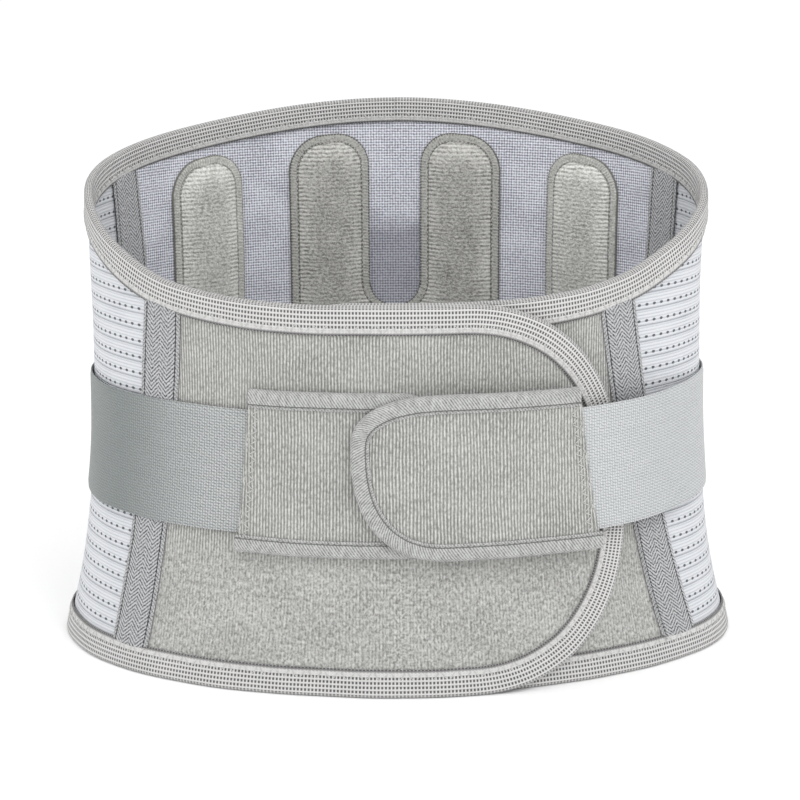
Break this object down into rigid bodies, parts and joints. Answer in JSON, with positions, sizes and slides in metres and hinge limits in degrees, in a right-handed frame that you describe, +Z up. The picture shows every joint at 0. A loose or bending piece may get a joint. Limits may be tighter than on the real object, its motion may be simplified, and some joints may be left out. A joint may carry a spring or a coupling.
{
  "type": "lumbar support belt",
  "caption": "Elastic lumbar support belt closed in a ring, with stayed back pads, overlapping front panels and hook-and-loop compression straps.",
  "frame": {"origin": "on the surface that the belt stands on, under the middle of the whole object", "axes": "+Z up, the front closure faces -Y, +X towards the side with the right strap's webbing as seen from the front"},
  "size_m": [0.3418, 0.2404, 0.2585],
  "materials": {
    "loop_fabric": "brushed loop fabric with fine ribs",
    "side_elastic": "perforated ribbed elastic",
    "seam_tape": "herringbone tape",
    "edge_binding": "woven elastic binding",
    "strap_binding": "narrow twill binding",
    "back_fabric": "dense knit",
    "lining_mesh": "fine mesh knit",
    "pad_velour": "ribbed velour",
    "strap_webbing": "woven elastic webbing",
    "hook_nylon": "moulded hooks",
    "pad_foam": "soft foam",
    "spring_steel": "bright spring steel"
  },
  "bodies": {
    "back": {"back_shell": "back_fabric", "back_lining": "lining_mesh", "back_binding_top": "edge_binding", "back_binding_bottom": "edge_binding", "back_seam_tape_left_outer": "seam_tape", "back_seam_tape_left_inner": "seam_tape", "back_seam_tape_right_outer": "seam_tape", "back_seam_tape_right_inner": "seam_tape", "side_elastic_left_rear": "side_elastic", "side_elastic_right_rear": "side_elastic", "side_pad_left": "pad_velour", "side_pad_right": "pad_velour", "centre_pad": "pad_velour", "centre_pad_foam_left": "pad_foam", "centre_pad_foam_right": "pad_foam", "stay_inner_left": "spring_steel", "stay_inner_right": "spring_steel", "stay_outer_left": "spring_steel", "stay_outer_right": "spring_steel", "strap_anchor_panel": "back_fabric", "left_strap_rear": "strap_webbing", "right_strap_rear": "strap_webbing"},
    "left_wing": {"front_panel_outer": "loop_fabric", "front_panel_hook_patch": "hook_nylon", "side_elastic_left_front": "side_elastic", "front_seam_tape_left_outer": "seam_tape", "front_seam_tape_left_inner": "seam_tape", "left_wing_binding": "edge_binding"},
    "right_wing": {"front_panel_inner": "loop_fabric", "side_elastic_right_front": "side_elastic", "front_seam_tape_right_outer": "seam_tape", "front_seam_tape_right_inner": "seam_tape", "right_wing_binding": "edge_binding"},
    "left_strap": {"left_strap_front": "strap_webbing", "left_strap_end": "loop_fabric", "left_strap_hook_patch": "hook_nylon", "left_strap_end_binding": "strap_binding"},
    "right_strap": {"right_strap_front": "strap_webbing", "right_strap_end": "loop_fabric", "right_strap_hook_patch": "hook_nylon", "right_strap_end_binding": "strap_binding"}
  },
  "joints": [
    {"name": "right_strap_peel", "type": "hinge", "parent": "back", "child": "right_strap", "pos_m": [0.15856, 0.0019, 0.1068], "axis": [0, 0, 1], "range_deg": [0, 120]},
    {"name": "left_strap_peel", "type": "hinge", "parent": "back", "child": "left_strap", "pos_m": [-0.15856, 0.0019, 0.1068], "axis": [0, 0, 1], "range_deg": [-75, 0]},
    {"name": "left_wing_open", "type": "hinge", "parent": "back", "child": "left_wing", "pos_m": [-0.174, 0.0019, 0.1068], "axis": [0, 0, 1], "range_deg": [-55, 0]},
    {"name": "right_wing_open", "type": "hinge", "parent": "back", "child": "right_wing", "pos_m": [0.174, 0.0019, 0.1068], "axis": [0, 0, 1], "range_deg": [0, 27]}
  ],
  "couplings": [
    {"joint": "left_strap_peel", "follows": "right_strap_peel", "ratio": -0.62},
    {"joint": "left_wing_open", "follows": "right_strap_peel", "ratio": -0.45},
    {"joint": "right_wing_open", "follows": "right_strap_peel", "ratio": 0.22}
  ]
}
